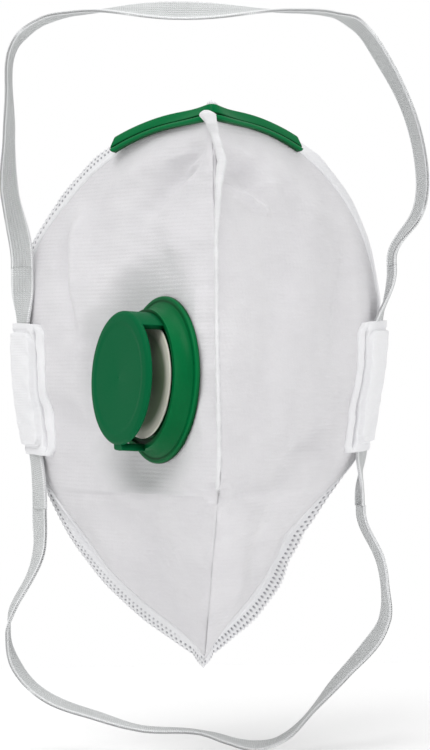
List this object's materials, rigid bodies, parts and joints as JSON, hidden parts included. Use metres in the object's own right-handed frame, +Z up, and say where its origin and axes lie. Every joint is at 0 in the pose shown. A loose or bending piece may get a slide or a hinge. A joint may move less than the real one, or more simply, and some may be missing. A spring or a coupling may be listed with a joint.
{
  "type": "disposable dust mask",
  "caption": "Vertical flat-fold half mask of white nonwoven with a welded centre seam, green nose clip, green exhalation valve and an elastic headband in two loops.",
  "frame": {"origin": "centre of the opening that lies on the face, midway between the nose and chin edges and level with the side edges", "axes": "+Z up towards the nose, -Y forward away from the wearer, +X to the right for a viewer in front"},
  "size_m": [0.1151, 0.0859, 0.1954],
  "materials": {
    "outer_nonwoven": "matte spunbond",
    "filter_web": "matte melt-blown",
    "inner_nonwoven": "matte, smooth",
    "welded_nonwoven": "pressed, slightly glossy",
    "green_plastic": "glossy green",
    "nose_wire": "plain wire",
    "foam": "soft closed-cell foam",
    "elastic": "woven elastic",
    "diaphragm": "thin silicone",
    "backing_plastic": "white"
  },
  "bodies": {
    "left_panel": {"centre_seam_fin": "welded_nonwoven", "left_band_run": "elastic", "left_headband_tunnel": "welded_nonwoven", "left_nose_clip": "green_plastic", "left_nose_foam": "foam", "left_nose_wire": "nose_wire", "left_panel_edge_band": "welded_nonwoven", "left_panel_filter_web": "filter_web", "left_panel_inner_liner": "inner_nonwoven", "left_panel_outer_cover": "outer_nonwoven", "left_tunnel_weld": "welded_nonwoven", "valve_backing_ring": "backing_plastic", "valve_base": "green_plastic", "valve_cover": "green_plastic"},
    "right_panel": {"right_band_run": "elastic", "right_headband_tunnel": "welded_nonwoven", "right_nose_clip": "green_plastic", "right_nose_foam": "foam", "right_nose_wire": "nose_wire", "right_panel_edge_band": "welded_nonwoven", "right_panel_filter_web": "filter_web", "right_panel_inner_liner": "inner_nonwoven", "right_panel_outer_cover": "outer_nonwoven", "right_tunnel_weld": "welded_nonwoven"},
    "left_chin_panel": {"left_chin_panel_edge_band": "welded_nonwoven", "left_chin_panel_filter_web": "filter_web", "left_chin_panel_inner_liner": "inner_nonwoven", "left_chin_panel_outer_cover": "outer_nonwoven"},
    "right_chin_panel": {"right_chin_panel_edge_band": "welded_nonwoven", "right_chin_panel_filter_web": "filter_web", "right_chin_panel_inner_liner": "inner_nonwoven", "right_chin_panel_outer_cover": "outer_nonwoven"},
    "valve_diaphragm": {"valve_diaphragm": "diaphragm"},
    "upper_headband": {"upper_headband": "elastic"},
    "lower_headband": {"lower_headband": "elastic"}
  },
  "joints": [
    {"name": "centre_fold", "type": "hinge", "parent": "left_panel", "child": "right_panel", "pos_m": [0, -0.08, -0.027], "axis": [0, 0.2345, 0.9721], "range_deg": [0, 46]},
    {"name": "left_chin_crease", "type": "hinge", "parent": "left_panel", "child": "left_chin_panel", "pos_m": [0, -0.08, -0.027], "axis": [-0.4936, 0.8697, 0], "range_deg": [0, 24.62]},
    {"name": "right_chin_crease", "type": "hinge", "parent": "right_panel", "child": "right_chin_panel", "pos_m": [0, -0.08, -0.027], "axis": [0.4936, 0.8697, 0], "range_deg": [-24.62, 0]},
    {"name": "diaphragm_lift", "type": "slide", "parent": "left_panel", "child": "valve_diaphragm", "axis": [-0.8175, -0.5625, 0.1233], "range_m": [0, 0.0012]},
    {"name": "upper_headband_swing", "type": "hinge", "parent": "left_panel", "child": "upper_headband", "pos_m": [-0.0505, -0.008, 0.031], "axis": [1, 0, 0], "range_deg": [-90, 0]},
    {"name": "lower_headband_swing", "type": "hinge", "parent": "left_panel", "child": "lower_headband", "pos_m": [-0.046, -0.013, -0.033], "axis": [-1, 0, 0], "range_deg": [-90, 0]}
  ],
  "couplings": [
    {"joint": "left_chin_crease", "follows": "centre_fold", "ratio": 0.535},
    {"joint": "right_chin_crease", "follows": "centre_fold", "ratio": -0.535}
  ]
}
